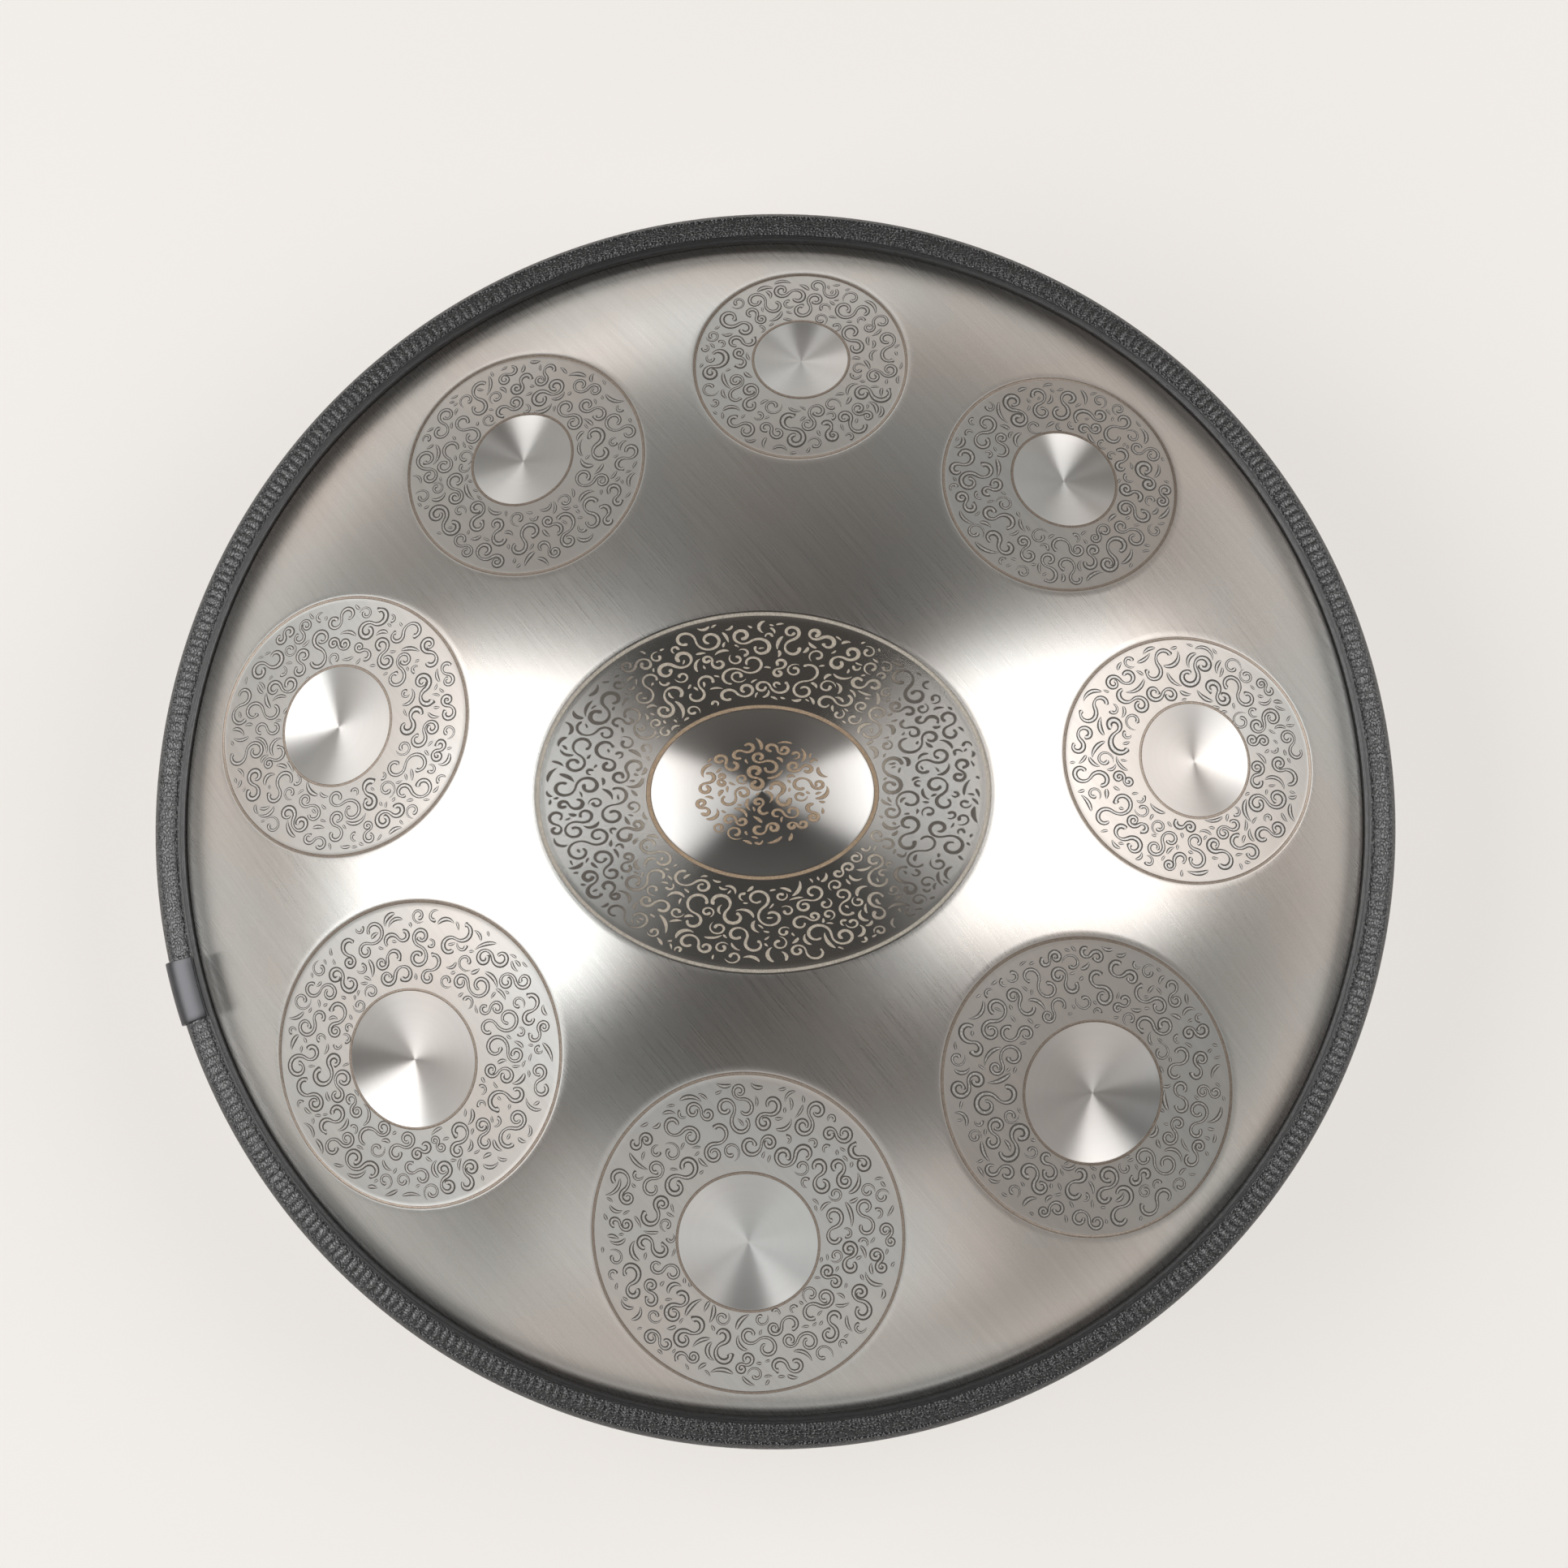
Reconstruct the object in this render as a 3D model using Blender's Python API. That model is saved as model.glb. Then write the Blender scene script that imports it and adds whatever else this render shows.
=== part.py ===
"""Handpan: two drawn steel shells glued together at a flange, with an edge trim on the rim.

Units are metres and +Z is up. The origin is the centre of the underside, on the plane that
the instrument rests on. Each piece is modelled around the rim plane, halfway between the
two flanges, and then lifted to its height. The upper shell carries a central note and a
ring of tone fields, all pressed into the one sheet, and the lower shell has a round port.
"""

import math
from collections import namedtuple

import bmesh
import bpy
from mathutils import Vector
from mathutils.geometry import delaunay_2d_cdt

# Both shells: a crown arc runs into a shoulder arc, and a foot arc eases it out to the flange.
SHEET = 0.0012
DOME_RADIUS = 0.2651
DOME_RISE = 0.114
CROWN_SLOPE = math.radians(30)
SHOULDER_SLOPE = math.radians(45)
FOOT_SLOPE = math.radians(30)
FOOT_ARC = 0.040
FLANGE_RADIUS = 0.2748

# Glue between the flanges, and the gap that every piece keeps to its neighbour.
ADHESIVE = 0.0008
CLEARANCE = 0.0003

# Underside: a flat land to rest on, and a port whose neck is turned inwards.
LAND_RADIUS = 0.066
PORT_RADIUS = 0.050
NECK_BEND = 0.008
NECK_HEIGHT = 0.030

# Edge trim: a soft cover over a steel carrier over a grip lining, all three U-shaped.
TRIM_RADIUS = 0.280
TRIM_HEIGHT = 0.012
TRIM_INNER_RADIUS = 0.2653
TRIM_CORNER = 0.0035
TRIM_LIP = 0.0016
COVER_TOP = 0.0016
COVER_SIDE = 0.0024
CARRIER = 0.0006
GRIP_TOP = 0.0010
GRIP_SIDE = 0.0013

# Sleeve that closes the trim's joint.
CLIP_AZIMUTH = 196.6
CLIP_LENGTH = 0.029
CLIP_THICKNESS = 0.0015
CLIP_INNER_RADIUS = 0.2683

# A field is an ellipse in plan, its length along the radius through its centre. The sheet
# inside it is flattened towards the chord of the dome, and its middle is pressed in or out.
Field = namedtuple("Field", "azimuth distance half_width half_length middle_width middle_length press")
FLATNESS = 0.7
CENTRE_FLATNESS = 0.25
FLATTENING_POWER = 3
DIMPLE_OFFSET = 0.002
DIMPLE_DEPTH_RATIO = 0.19
DIMPLE_POWER = 1.6
CENTRE_POWER = 2
CENTRE_NOTE = Field(0.0, 0.0, 0.0753, 0.0951, 0.0348, 0.0461, 0.005)

# Azimuth, distance, half width, half length and dimple radius, from the largest round.
TONE_FIELD_SIZES = (
    (267.6, 0.1851, 0.0672, 0.0709, 0.0296),
    (318.3, 0.1840, 0.0624, 0.0668, 0.0297),
    (5.6, 0.1828, 0.0543, 0.0580, 0.0244),
    (47.6, 0.1904, 0.0520, 0.0551, 0.0228),
    (85.7, 0.1959, 0.0478, 0.0516, 0.0205),
    (125.2, 0.1837, 0.0540, 0.0576, 0.0223),
    (169.4, 0.1886, 0.0586, 0.0622, 0.0261),
    (215.8, 0.1852, 0.0654, 0.0683, 0.0290),
)
TONE_FIELDS = tuple(
    Field(azimuth, distance, width, length, dimple, dimple, -DIMPLE_DEPTH_RATIO * dimple)
    for azimuth, distance, width, length, dimple in TONE_FIELD_SIZES
)
FIELDS = (CENTRE_NOTE,) + TONE_FIELDS

# Facets: round pieces turn in RIM_STEPS steps, so their corners line up all the way round.
RIM_STEPS = 72
ARC_STEPS = 3
NECK_STEPS = 4
SHOULDER_STEPS = 5
CROWN_STEPS = 4
CLIP_STEPS = 4
OUTLINE_STEPS = 28
MEMBRANE_SCALE = 0.74
MEMBRANE_STEPS = 22
MIDDLE_RINGS = ((1.0, 20), (0.55, 10))
DOME_GRID = 0.016
SHOULDER_GRID = 0.011
FOOT_STEPS = 2

FLANGE_FACE = ADHESIVE / 2 + CLEARANCE + SHEET
FOOT_CENTRE = DOME_RADIUS + FOOT_ARC * math.sin(FOOT_SLOPE)
SHOULDER_RADIUS = FOOT_CENTRE - FOOT_ARC * math.sin(SHOULDER_SLOPE)
FOOT_RISE = FOOT_ARC * (math.cos(FOOT_SLOPE) - math.cos(SHOULDER_SLOPE))


def arc_radii():
    """Radii of the crown arc and the shoulder arc, which share a tangent at CROWN_SLOPE."""
    run_crown = math.sin(CROWN_SLOPE)
    run_shoulder = math.sin(SHOULDER_SLOPE) - run_crown
    rise_crown = 1 - math.cos(CROWN_SLOPE)
    rise_shoulder = math.cos(CROWN_SLOPE) - math.cos(SHOULDER_SLOPE)
    determinant = run_crown * rise_shoulder - run_shoulder * rise_crown
    rise = DOME_RISE - FOOT_RISE
    crown = (SHOULDER_RADIUS * rise_shoulder - rise * run_shoulder) / determinant
    shoulder = (rise * run_crown - SHOULDER_RADIUS * rise_crown) / determinant
    return crown, shoulder


CROWN_ARC, SHOULDER_ARC = arc_radii()


def dome_height(radius):
    """Height of the plain dome's outer face above the rim plane."""
    if radius >= DOME_RADIUS:
        return FLANGE_FACE
    if radius >= SHOULDER_RADIUS:
        drop = math.sqrt(FOOT_ARC**2 - (FOOT_CENTRE - radius) ** 2)
        return FLANGE_FACE + FOOT_ARC * math.cos(FOOT_SLOPE) - drop
    if radius < CROWN_ARC * math.sin(CROWN_SLOPE):
        return FLANGE_FACE + DOME_RISE - CROWN_ARC + math.sqrt(CROWN_ARC**2 - radius**2)
    centre_radius = (CROWN_ARC - SHOULDER_ARC) * math.sin(CROWN_SLOPE)
    centre_height = DOME_RISE - CROWN_ARC + (CROWN_ARC - SHOULDER_ARC) * math.cos(CROWN_SLOPE)
    return FLANGE_FACE + centre_height + math.sqrt(SHOULDER_ARC**2 - (radius - centre_radius) ** 2)


RIM_PLANE = dome_height(LAND_RADIUS)


def to_field(field, x, y):
    """Plan coordinates of a point in a field: along its radius and across it."""
    azimuth = math.radians(field.azimuth)
    along = x * math.cos(azimuth) + y * math.sin(azimuth) - field.distance
    across = y * math.cos(azimuth) - x * math.sin(azimuth)
    return along, across


def from_field(field, along, across):
    """The plan point at the given coordinates of a field."""
    azimuth = math.radians(field.azimuth)
    radius = field.distance + along
    x = radius * math.cos(azimuth) - across * math.sin(azimuth)
    y = radius * math.sin(azimuth) + across * math.cos(azimuth)
    return x, y


def middle_offset(field):
    """How far the pressed middle lies outwards of the field's centre."""
    return DIMPLE_OFFSET if field.distance else 0.0


def pressed_height(field, along, across):
    """Height of the outer face inside a field."""
    inner_end = dome_height(abs(field.distance - field.half_length))
    outer_end = dome_height(field.distance + field.half_length)
    side = dome_height(math.hypot(field.distance, field.half_width))
    slope = (outer_end - inner_end) / (2 * field.half_length)
    middle = (inner_end + outer_end) / 2
    flatness = FLATNESS if field.distance else CENTRE_FLATNESS
    flat = flatness * (side - middle)
    reach = math.hypot(along / field.half_length, across / field.half_width)
    edge = flat
    if reach > 0:
        edge_radius = math.hypot(field.distance + along / reach, across / reach)
        edge = dome_height(edge_radius) - middle - slope * along / reach
    height = middle + slope * along + flat + (edge - flat) * reach**FLATTENING_POWER
    along -= middle_offset(field)
    from_middle = math.hypot(along / field.middle_length, across / field.middle_width)
    power = DIMPLE_POWER if field.distance else CENTRE_POWER
    return height + field.press * max(0.0, 1 - from_middle**power)


def top_height(x, y):
    """Height of the upper shell's outer face at a plan point."""
    for field in FIELDS:
        along, across = to_field(field, x, y)
        if math.hypot(along / field.half_length, across / field.half_width) < 1:
            return pressed_height(field, along, across)
    return dome_height(math.hypot(x, y))


def ellipse(field, half_length, half_width, offset, steps):
    """Points of an ellipse in a field, in plan."""
    turns = (2 * math.pi * step / steps for step in range(steps))
    return [
        from_field(field, offset + half_length * math.cos(turn), half_width * math.sin(turn))
        for turn in turns
    ]


def circle(radius, steps):
    """Points of a circle round the axis, in plan."""
    turns = (2 * math.pi * step / steps for step in range(steps))
    return [(radius * math.cos(turn), radius * math.sin(turn)) for turn in turns]


def field_rings(field):
    """Rings of points that shape one field: its outline, its membrane and its middle."""
    rings = []
    for scale, steps in ((1.0, OUTLINE_STEPS), (MEMBRANE_SCALE, MEMBRANE_STEPS)):
        rings.append(ellipse(field, scale * field.half_length, scale * field.half_width, 0.0, steps))
    offset = middle_offset(field)
    for scale, steps in MIDDLE_RINGS:
        length = scale * field.middle_length
        rings.append(ellipse(field, length, scale * field.middle_width, offset, steps))
    return rings


def clear_of_fields(x, y):
    """True where a plan point is well outside every field."""
    margin = DOME_GRID / 2
    for field in FIELDS:
        along, across = to_field(field, x, y)
        if math.hypot(along / (field.half_length + margin), across / (field.half_width + margin)) < 1:
            return False
    return True


def foot_radii():
    """Radii of the corners of the foot arc, from the flange to the shoulder."""
    step = (SHOULDER_SLOPE - FOOT_SLOPE) / FOOT_STEPS
    slopes = [FOOT_SLOPE + step * number for number in range(FOOT_STEPS + 1)]
    return [FOOT_CENTRE - FOOT_ARC * math.sin(slope) for slope in slopes]


def dome_fill():
    """Points between the fields, on rings that lie closer together on the shoulder."""
    points = []
    radius = CENTRE_NOTE.half_width + DOME_GRID
    while radius < SHOULDER_RADIUS - SHOULDER_GRID / 2:
        steps = round(2 * math.pi * radius / DOME_GRID)
        points += [point for point in circle(radius, steps) if clear_of_fields(*point)]
        on_crown = radius < CROWN_ARC * math.sin(CROWN_SLOPE)
        radius += DOME_GRID if on_crown else SHOULDER_GRID
    return points


def smooth(mesh, angle):
    """Shade a mesh smooth, and keep edges sharper than the angle, in degrees, crisp."""
    mesh.shade_smooth()
    mesh.set_sharp_from_angle(angle=math.radians(angle))


def make_material(name, colour, roughness, metallic):
    """A Principled material with the piece's colour."""
    material = bpy.data.materials.new(name)
    material.use_nodes = True
    shader = material.node_tree.nodes["Principled BSDF"]
    shader.inputs["Base Color"].default_value = (*colour, 1.0)
    shader.inputs["Roughness"].default_value = roughness
    shader.inputs["Metallic"].default_value = metallic
    return material


def add_piece(name, mesh, material, parent):
    """Link a piece at the height of the rim plane."""
    piece = bpy.data.objects.new(name, mesh)
    piece.location.z = RIM_PLANE
    piece.parent = parent
    mesh.materials.append(material)
    bpy.context.collection.objects.link(piece)
    return piece


def add_turned_piece(name, section, material, parent):
    """Turn a closed section of (radius, height) points, listed down its outer side."""
    mesh = bpy.data.meshes.new(name)
    edges = [(i, (i + 1) % len(section)) for i in range(len(section))]
    mesh.from_pydata([(radius, 0.0, height) for radius, height in section], edges, [])
    piece = add_piece(name, mesh, material, parent)
    screw = piece.modifiers.new("turn", "SCREW")
    screw.angle = 2 * math.pi
    screw.steps = RIM_STEPS
    screw.render_steps = RIM_STEPS
    screw.use_merge_vertices = True
    screw.merge_threshold = 0.00005
    screw.use_smooth_shade = True
    return piece


def corner_arc(centre_radius, centre_height, arc_radius, start, end, steps=ARC_STEPS):
    """Points of an arc in a section, from one angle to another, in degrees."""
    points = []
    for step in range(steps + 1):
        turn = math.radians(start + (end - start) * step / steps)
        radius = centre_radius + arc_radius * math.cos(turn)
        points.append((radius, centre_height + arc_radius * math.sin(turn)))
    return points


def sheet_section(face):
    """Close the line of a sheet's outer face into a section, one sheet thick inwards."""
    normals = []
    for start, end in zip(face, face[1:]):
        direction = Vector((end[0] - start[0], end[1] - start[1])).normalized()
        normals.append(Vector((direction.y, -direction.x)))
    inner = []
    for index, point in enumerate(face):
        before = normals[max(index - 1, 0)]
        after = normals[min(index, len(normals) - 1)]
        mitre = (before + after).normalized()
        inner.append(Vector(point) + mitre * SHEET / mitre.dot(before))
    return list(face) + [tuple(point) for point in reversed(inner)]


def channel_section(inner_radius, outer_radius, half_height, top, side):
    """A U lying on its side, open towards the axis: its upper, lower and inside points."""
    slot = half_height - top
    end = outer_radius - side
    upper = [(inner_radius, half_height), (outer_radius, half_height)]
    lower = [(outer_radius, -half_height), (inner_radius, -half_height)]
    inside = [(inner_radius, -slot), (end, -slot), (end, slot), (inner_radius, slot)]
    return upper, lower, inside


def add_top_shell(material, parent):
    """Upper shell: plan points with the outlines as constraints, lifted and thickened."""
    rings = [circle(radius, RIM_STEPS) for radius in [FLANGE_RADIUS] + foot_radii()]
    for field in FIELDS:
        rings += field_rings(field)
    points = []
    edges = []
    for ring in rings:
        first = len(points)
        points += ring
        edges += [(first + i, first + (i + 1) % len(ring)) for i in range(len(ring))]
    points += [from_field(field, middle_offset(field), 0.0) for field in FIELDS]
    points += dome_fill()
    plan, _, triangles, *_ = delaunay_2d_cdt([Vector(point) for point in points], edges, [], 0, 1e-7)
    mesh = bpy.data.meshes.new("top_shell")
    vertices = [(point.x, point.y, top_height(point.x, point.y)) for point in plan]
    mesh.from_pydata(vertices, [], triangles)
    smooth(mesh, 35)
    piece = add_piece("top_shell", mesh, material, parent)
    thickness = piece.modifiers.new("sheet", "SOLIDIFY")
    thickness.thickness = SHEET
    thickness.offset = -1
    thickness.use_even_offset = True


def add_bottom_shell(material, parent):
    """Lower shell: the same dome turned over, down to the land and in through the port."""
    face = [(radius, -dome_height(radius)) for radius in [FLANGE_RADIUS] + foot_radii()]
    crown_end = CROWN_ARC * math.sin(CROWN_SLOPE)
    shoulder_centre = (CROWN_ARC - SHOULDER_ARC) * math.sin(CROWN_SLOPE)
    for step in range(1, SHOULDER_STEPS + 1):
        slope = SHOULDER_SLOPE + (CROWN_SLOPE - SHOULDER_SLOPE) * step / SHOULDER_STEPS
        radius = shoulder_centre + SHOULDER_ARC * math.sin(slope)
        face.append((radius, -dome_height(radius)))
    for step in range(1, CROWN_STEPS + 1):
        radius = crown_end + (LAND_RADIUS - crown_end) * step / CROWN_STEPS
        face.append((radius, -dome_height(radius)))
    bend_radius = PORT_RADIUS + NECK_BEND
    face += corner_arc(bend_radius, NECK_BEND - RIM_PLANE, NECK_BEND, 270, 180, NECK_STEPS)
    face.append((PORT_RADIUS, NECK_HEIGHT - RIM_PLANE))
    add_turned_piece("bottom_shell", sheet_section(face), material, parent)


def add_adhesive(material, parent):
    """Ring of glue between the two flanges."""
    outer = FLANGE_RADIUS - CLEARANCE
    inner = DOME_RADIUS - SHEET
    half = ADHESIVE / 2
    section = [(inner, half), (outer, half), (outer, -half), (inner, -half)]
    add_turned_piece("rim_adhesive", section, material, parent)


def add_trim_cover(material, parent):
    """Soft cover of the edge trim, rounded outside and lipped at the shells."""
    half = TRIM_HEIGHT / 2
    inner = TRIM_INNER_RADIUS
    upper, lower, inside = channel_section(inner, TRIM_RADIUS, half, COVER_TOP, COVER_SIDE)
    centre = TRIM_RADIUS - TRIM_CORNER
    upper[1:] = corner_arc(centre, half - TRIM_CORNER, TRIM_CORNER, 90, 0)
    lower[:1] = corner_arc(centre, TRIM_CORNER - half, TRIM_CORNER, 0, -90)
    slot = half - COVER_TOP
    mouth = FLANGE_FACE + CLEARANCE
    behind = inner + TRIM_LIP
    inside[:1] = [(inner, -mouth), (behind, -mouth), (behind, -slot)]
    inside[-1:] = [(behind, slot), (behind, mouth), (inner, mouth)]
    add_turned_piece("edge_trim_cover", upper + lower + inside, material, parent)


def add_trim_carrier(material, parent):
    """Steel strip folded to a U inside the cover."""
    inner = TRIM_INNER_RADIUS + TRIM_LIP + CLEARANCE
    outer = TRIM_RADIUS - COVER_SIDE - CLEARANCE
    half = TRIM_HEIGHT / 2 - COVER_TOP - CLEARANCE
    sections = channel_section(inner, outer, half, CARRIER, CARRIER)
    add_turned_piece("edge_trim_carrier", sum(sections, []), material, parent)


def add_trim_grip(material, parent):
    """Soft lining of the carrier, which grips the flanges."""
    inner = TRIM_INNER_RADIUS + TRIM_LIP + CLEARANCE
    outer = TRIM_RADIUS - COVER_SIDE - CARRIER - 2 * CLEARANCE
    half = TRIM_HEIGHT / 2 - COVER_TOP - CARRIER - 2 * CLEARANCE
    sections = channel_section(inner, outer, half, GRIP_TOP, GRIP_SIDE)
    add_turned_piece("edge_trim_grip", sum(sections, []), material, parent)


def add_clip(material, parent):
    """Metal sleeve over the trim's joint: the trim's outline, offset and swept a little way."""
    half = TRIM_HEIGHT / 2
    centre = TRIM_RADIUS - TRIM_CORNER
    near = CLEARANCE
    far = CLEARANCE + CLIP_THICKNESS
    section = [(CLIP_INNER_RADIUS, half + far)]
    section += corner_arc(centre, half - TRIM_CORNER, TRIM_CORNER + far, 90, 0)
    section += corner_arc(centre, TRIM_CORNER - half, TRIM_CORNER + far, 0, -90)
    section += [(CLIP_INNER_RADIUS, -half - far), (CLIP_INNER_RADIUS, -half - near)]
    section += corner_arc(centre, TRIM_CORNER - half, TRIM_CORNER + near, -90, 0)
    section += corner_arc(centre, half - TRIM_CORNER, TRIM_CORNER + near, 0, 90)
    section.append((CLIP_INNER_RADIUS, half + near))

    sweep = CLIP_LENGTH / TRIM_RADIUS
    start = math.radians(CLIP_AZIMUTH) - sweep / 2
    model = bmesh.new()
    corners = [
        model.verts.new((radius * math.cos(start), radius * math.sin(start), height))
        for radius, height in section
    ]
    face = model.faces.new(corners)
    bmesh.ops.spin(model, geom=[face], axis=(0, 0, 1), cent=(0, 0, 0), angle=sweep, steps=CLIP_STEPS)
    bmesh.ops.recalc_face_normals(model, faces=model.faces)
    mesh = bpy.data.meshes.new("trim_joint_clip")
    model.to_mesh(mesh)
    model.free()
    smooth(mesh, 50)
    add_piece("trim_joint_clip", mesh, material, parent)


def main():
    for old in list(bpy.data.objects):
        bpy.data.objects.remove(old)

    handpan = bpy.data.objects.new("handpan", None)
    bpy.context.collection.objects.link(handpan)

    add_top_shell(make_material("top_steel", (0.60, 0.57, 0.54), 0.28, 1.0), handpan)
    add_bottom_shell(make_material("bottom_steel", (0.56, 0.54, 0.51), 0.34, 1.0), handpan)
    add_adhesive(make_material("adhesive", (0.10, 0.10, 0.11), 0.6, 0.0), handpan)
    add_trim_cover(make_material("trim_rubber", (0.030, 0.028, 0.027), 0.55, 0.0), handpan)
    add_trim_carrier(make_material("carrier_steel", (0.50, 0.50, 0.50), 0.45, 1.0), handpan)
    add_trim_grip(make_material("grip_rubber", (0.020, 0.020, 0.020), 0.7, 0.0), handpan)
    add_clip(make_material("clip_metal", (0.30, 0.30, 0.31), 0.25, 1.0), handpan)


main()
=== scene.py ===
import math
import random

import bmesh
import bpy
import numpy as np
from mathutils import Matrix, Vector
from mathutils.geometry import delaunay_2d_cdt


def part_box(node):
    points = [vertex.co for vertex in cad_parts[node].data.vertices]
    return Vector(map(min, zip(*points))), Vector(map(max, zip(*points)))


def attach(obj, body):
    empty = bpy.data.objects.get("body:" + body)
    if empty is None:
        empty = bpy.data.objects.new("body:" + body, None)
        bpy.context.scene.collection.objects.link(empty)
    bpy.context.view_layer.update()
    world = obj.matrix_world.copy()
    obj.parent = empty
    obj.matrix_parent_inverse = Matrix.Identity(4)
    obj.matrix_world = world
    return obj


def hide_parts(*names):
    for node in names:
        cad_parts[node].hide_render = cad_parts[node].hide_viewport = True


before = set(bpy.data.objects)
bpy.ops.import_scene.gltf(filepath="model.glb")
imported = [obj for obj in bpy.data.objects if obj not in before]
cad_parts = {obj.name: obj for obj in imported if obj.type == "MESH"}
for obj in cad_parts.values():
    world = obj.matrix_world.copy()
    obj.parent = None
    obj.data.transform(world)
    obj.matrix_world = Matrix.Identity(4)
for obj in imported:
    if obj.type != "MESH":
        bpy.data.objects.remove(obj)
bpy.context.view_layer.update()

# ---- driving dimensions

TRIM_LOW, TRIM_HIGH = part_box("edge_trim_cover")
TOP_LOW, TOP_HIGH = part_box("top_shell")
CLIP_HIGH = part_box("trim_joint_clip")[1]
RIM_PLANE = (TRIM_LOW.z + TRIM_HIGH.z) / 2
TRIM_RADIUS = TRIM_HIGH.x
TRIM_HALF = (TRIM_HIGH.z - TRIM_LOW.z) / 2
FLANGE_RADIUS = TOP_HIGH.x

SHEET = 0.0012
DOME_RADIUS = 0.2651
DOME_RISE = 0.114
CROWN_SLOPE = math.radians(30)
SHOULDER_SLOPE = math.radians(45)
FOOT_SLOPE = math.radians(30)
FOOT_ARC = 0.040
FOOT_CENTRE = DOME_RADIUS + FOOT_ARC * math.sin(FOOT_SLOPE)
SHOULDER_RADIUS = FOOT_CENTRE - FOOT_ARC * math.sin(SHOULDER_SLOPE)
FOOT_RISE = FOOT_ARC * (math.cos(FOOT_SLOPE) - math.cos(SHOULDER_SLOPE))
FLANGE_FACE = TOP_LOW.z - RIM_PLANE + SHEET
TRIM_INNER_RADIUS = 0.2653
LAND_RADIUS = 0.066
PORT_RADIUS = 0.050
NECK_BEND = 0.008
NECK_HEIGHT = 0.030
CLIP_AZIMUTH = math.radians(196.6)
CLIP_LENGTH = 0.029

FLATNESS = 0.7
CENTRE_FLATNESS = 0.25
FLATTENING_POWER = 3
DIMPLE_OFFSET = 0.002
DIMPLE_DEPTH_RATIO = 0.19
DIMPLE_POWER = 1.6
PRESS_STEP = 0.0005
PRESS_EDGE = 0.045


class Field:
    """A pressed ellipse of the upper shell, its length along the radius through its centre."""

    def __init__(self, name, azimuth, distance, width, length, middle_width, middle_length, press):
        self.name = name
        self.azimuth = math.radians(azimuth)
        self.distance = distance
        self.width = width
        self.length = length
        self.middle_width = middle_width
        self.middle_length = middle_length
        self.press = press
        self.offset = DIMPLE_OFFSET if distance else 0.0
        self.flatness = FLATNESS if distance else CENTRE_FLATNESS
        self.middle_power = DIMPLE_POWER if distance else 2

    def to_plan(self, along, across):
        """World plan coordinates of a place measured from the field's centre."""
        radius = self.distance + along
        x = radius * math.cos(self.azimuth) - across * math.sin(self.azimuth)
        y = radius * math.sin(self.azimuth) + across * math.cos(self.azimuth)
        return x, y

    def from_plan(self, x, y):
        """Undo to_plan."""
        along = x * math.cos(self.azimuth) + y * math.sin(self.azimuth) - self.distance
        across = y * math.cos(self.azimuth) - x * math.sin(self.azimuth)
        return along, across

    def reach(self, x, y, margin=0.0):
        """How far out a place is: 0 at the centre, 1 on the outline grown by the margin."""
        along, across = self.from_plan(x, y)
        return np.hypot(along / (self.length + margin), across / (self.width + margin))


# Azimuth, distance, half width, half length and dimple radius, from the largest round.
TONE_FIELD_SIZES = (
    (267.6, 0.1851, 0.0672, 0.0709, 0.0296),
    (318.3, 0.1840, 0.0624, 0.0668, 0.0297),
    (5.6, 0.1828, 0.0543, 0.0580, 0.0244),
    (47.6, 0.1904, 0.0520, 0.0551, 0.0228),
    (85.7, 0.1959, 0.0478, 0.0516, 0.0205),
    (125.2, 0.1837, 0.0540, 0.0576, 0.0223),
    (169.4, 0.1886, 0.0586, 0.0622, 0.0261),
    (215.8, 0.1852, 0.0654, 0.0683, 0.0290),
)
CENTRE_NOTE = Field("centre_note", 0.0, 0.0, 0.0753, 0.0951, 0.0348, 0.0461, 0.005)
TONE_FIELDS = [
    Field(
        f"tone_field_{number}", azimuth, distance, width, length,
        dimple, dimple, -DIMPLE_DEPTH_RATIO * dimple,
    )
    for number, (azimuth, distance, width, length, dimple) in enumerate(TONE_FIELD_SIZES, 1)
]
FIELDS = [CENTRE_NOTE] + TONE_FIELDS


# ---- the shells' shape

def arc_radii():
    """Radii of the crown arc and the shoulder arc, which share a tangent at CROWN_SLOPE."""
    run_crown = math.sin(CROWN_SLOPE)
    run_shoulder = math.sin(SHOULDER_SLOPE) - run_crown
    rise_crown = 1 - math.cos(CROWN_SLOPE)
    rise_shoulder = math.cos(CROWN_SLOPE) - math.cos(SHOULDER_SLOPE)
    determinant = run_crown * rise_shoulder - run_shoulder * rise_crown
    rise = DOME_RISE - FOOT_RISE
    crown = (SHOULDER_RADIUS * rise_shoulder - rise * run_shoulder) / determinant
    shoulder = (rise * run_crown - SHOULDER_RADIUS * rise_crown) / determinant
    return crown, shoulder


CROWN_ARC, SHOULDER_ARC = arc_radii()
CROWN_END = CROWN_ARC * math.sin(CROWN_SLOPE)
SHOULDER_CENTRE = (CROWN_ARC - SHOULDER_ARC) * math.sin(CROWN_SLOPE)


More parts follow.
